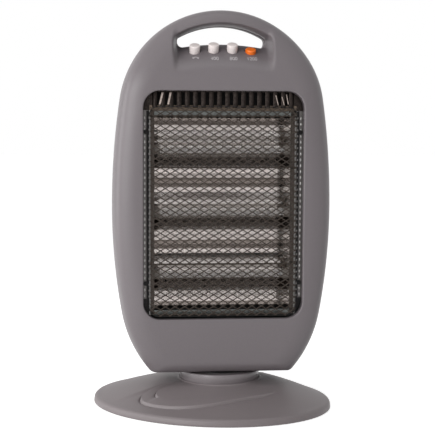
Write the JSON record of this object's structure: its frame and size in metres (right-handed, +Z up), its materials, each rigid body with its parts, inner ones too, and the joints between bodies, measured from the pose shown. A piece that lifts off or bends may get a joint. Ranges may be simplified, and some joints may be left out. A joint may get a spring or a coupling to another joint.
{
  "type": "halogen heater",
  "caption": "Upright halogen heater with a rounded body, mesh guard over reflector tubes, top handle with push buttons, and an oval base that it swings on.",
  "frame": {"origin": "middle of the base on the floor", "axes": "+Z up, the heater's window faces -Y, +X to its left as it faces the viewer's right"},
  "size_m": [0.3204, 0.2669, 0.5328],
  "materials": {
    "grey_plastic": "satin moulded",
    "zinc_plate": "zinc-coated sheet",
    "foot_rubber": "matt",
    "screw_steel": "dark zinc",
    "white_bearing": "smooth",
    "motor_steel": "plated",
    "turntable_steel": "pressed",
    "guard_steel": "dark plated",
    "outlet_dark": "matt",
    "bright_aluminium": "bright rolled",
    "quartz": "clear",
    "tungsten": "drawn wire",
    "cap_ceramic": "unglazed ceramic",
    "switch_plastic": "moulded",
    "cream_plastic": "moulded",
    "cutout_metal": "plated",
    "pendulum_brass": "turned",
    "button_white": "glossy",
    "button_orange": "glossy",
    "stem_plastic": "moulded"
  },
  "bodies": {
    "base": {"base_cover": "grey_plastic", "base_plate": "zinc_plate", "rubber_feet": "foot_rubber", "base_screws": "screw_steel", "swivel_collar": "grey_plastic", "thrust_washer": "switch_plastic", "swing_motor": "motor_steel", "motor_screws": "screw_steel"},
    "crank": {"motor_shaft": "motor_steel", "crank_arm": "white_bearing", "crank_pin": "motor_steel"},
    "heater": {"front_shell": "grey_plastic", "rear_shell": "grey_plastic", "shell_screws": "screw_steel", "turntable": "turntable_steel", "turntable_screws": "screw_steel", "swing_plate": "turntable_steel", "guard_mesh": "guard_steel", "guard_frame": "guard_steel", "guard_wires": "guard_steel", "guard_screws": "screw_steel", "outlet_grille": "outlet_dark", "reflector": "bright_aluminium", "cheek_left": "zinc_plate", "cheek_right": "zinc_plate", "core_screws": "screw_steel", "rear_shield": "zinc_plate", "quartz_tube_1": "quartz", "quartz_tube_2": "quartz", "quartz_tube_3": "quartz", "filament_1": "tungsten", "filament_2": "tungsten", "filament_3": "tungsten", "end_caps_1": "cap_ceramic", "end_caps_2": "cap_ceramic", "end_caps_3": "cap_ceramic", "tube_clips": "zinc_plate", "switch_bank": "switch_plastic", "switch_screws": "screw_steel", "thermal_cutout": "cutout_metal", "terminal_block": "cream_plastic", "cable_gland": "switch_plastic", "tip_switch": "cream_plastic", "tip_pin": "screw_steel"},
    "pendulum": {"tip_pendulum": "pendulum_brass"},
    "button_swing": {"button_swing": "button_white", "stem_swing": "stem_plastic"},
    "button_power_1": {"button_power_1": "button_white", "stem_power_1": "stem_plastic"},
    "button_power_2": {"button_power_2": "button_white", "stem_power_2": "stem_plastic"},
    "button_power_3": {"button_power_3": "button_orange", "stem_power_3": "stem_plastic"}
  },
  "joints": [
    {"name": "body_swing", "type": "hinge", "parent": "base", "child": "heater", "pos_m": [0.01299, 0.01815, 0.045], "axis": [0, 0, 1], "range_deg": [-53.5, 16.5]},
    {"name": "crank_turn", "type": "hinge", "parent": "base", "child": "crank", "pos_m": [0.01778, 0.03131, 0.02], "axis": [0, 0, 1], "range_deg": [-107, 33]},
    {"name": "pendulum_swing", "type": "hinge", "parent": "heater", "child": "pendulum", "pos_m": [0.07499, 0.02415, 0.0806], "axis": [0, 1, 0], "range_deg": [-20, 20]},
    {"name": "swing_press", "type": "slide", "parent": "heater", "child": "button_swing", "axis": [0, 0.4695, -0.8829], "range_m": [0, 0.0049], "stiffness_N_per_m": 400},
    {"name": "power_1_press", "type": "slide", "parent": "heater", "child": "button_power_1", "axis": [0, 0.4695, -0.8829], "range_m": [0, 0.0049], "stiffness_N_per_m": 400},
    {"name": "power_2_press", "type": "slide", "parent": "heater", "child": "button_power_2", "axis": [0, 0.4695, -0.8829], "range_m": [0, 0.0049], "stiffness_N_per_m": 400},
    {"name": "power_3_press", "type": "slide", "parent": "heater", "child": "button_power_3", "axis": [0, 0.4695, -0.8829], "range_m": [-0.0049, 0]}
  ],
  "couplings": [
    {"joint": "crank_turn", "follows": "body_swing", "ratio": 2}
  ]
}
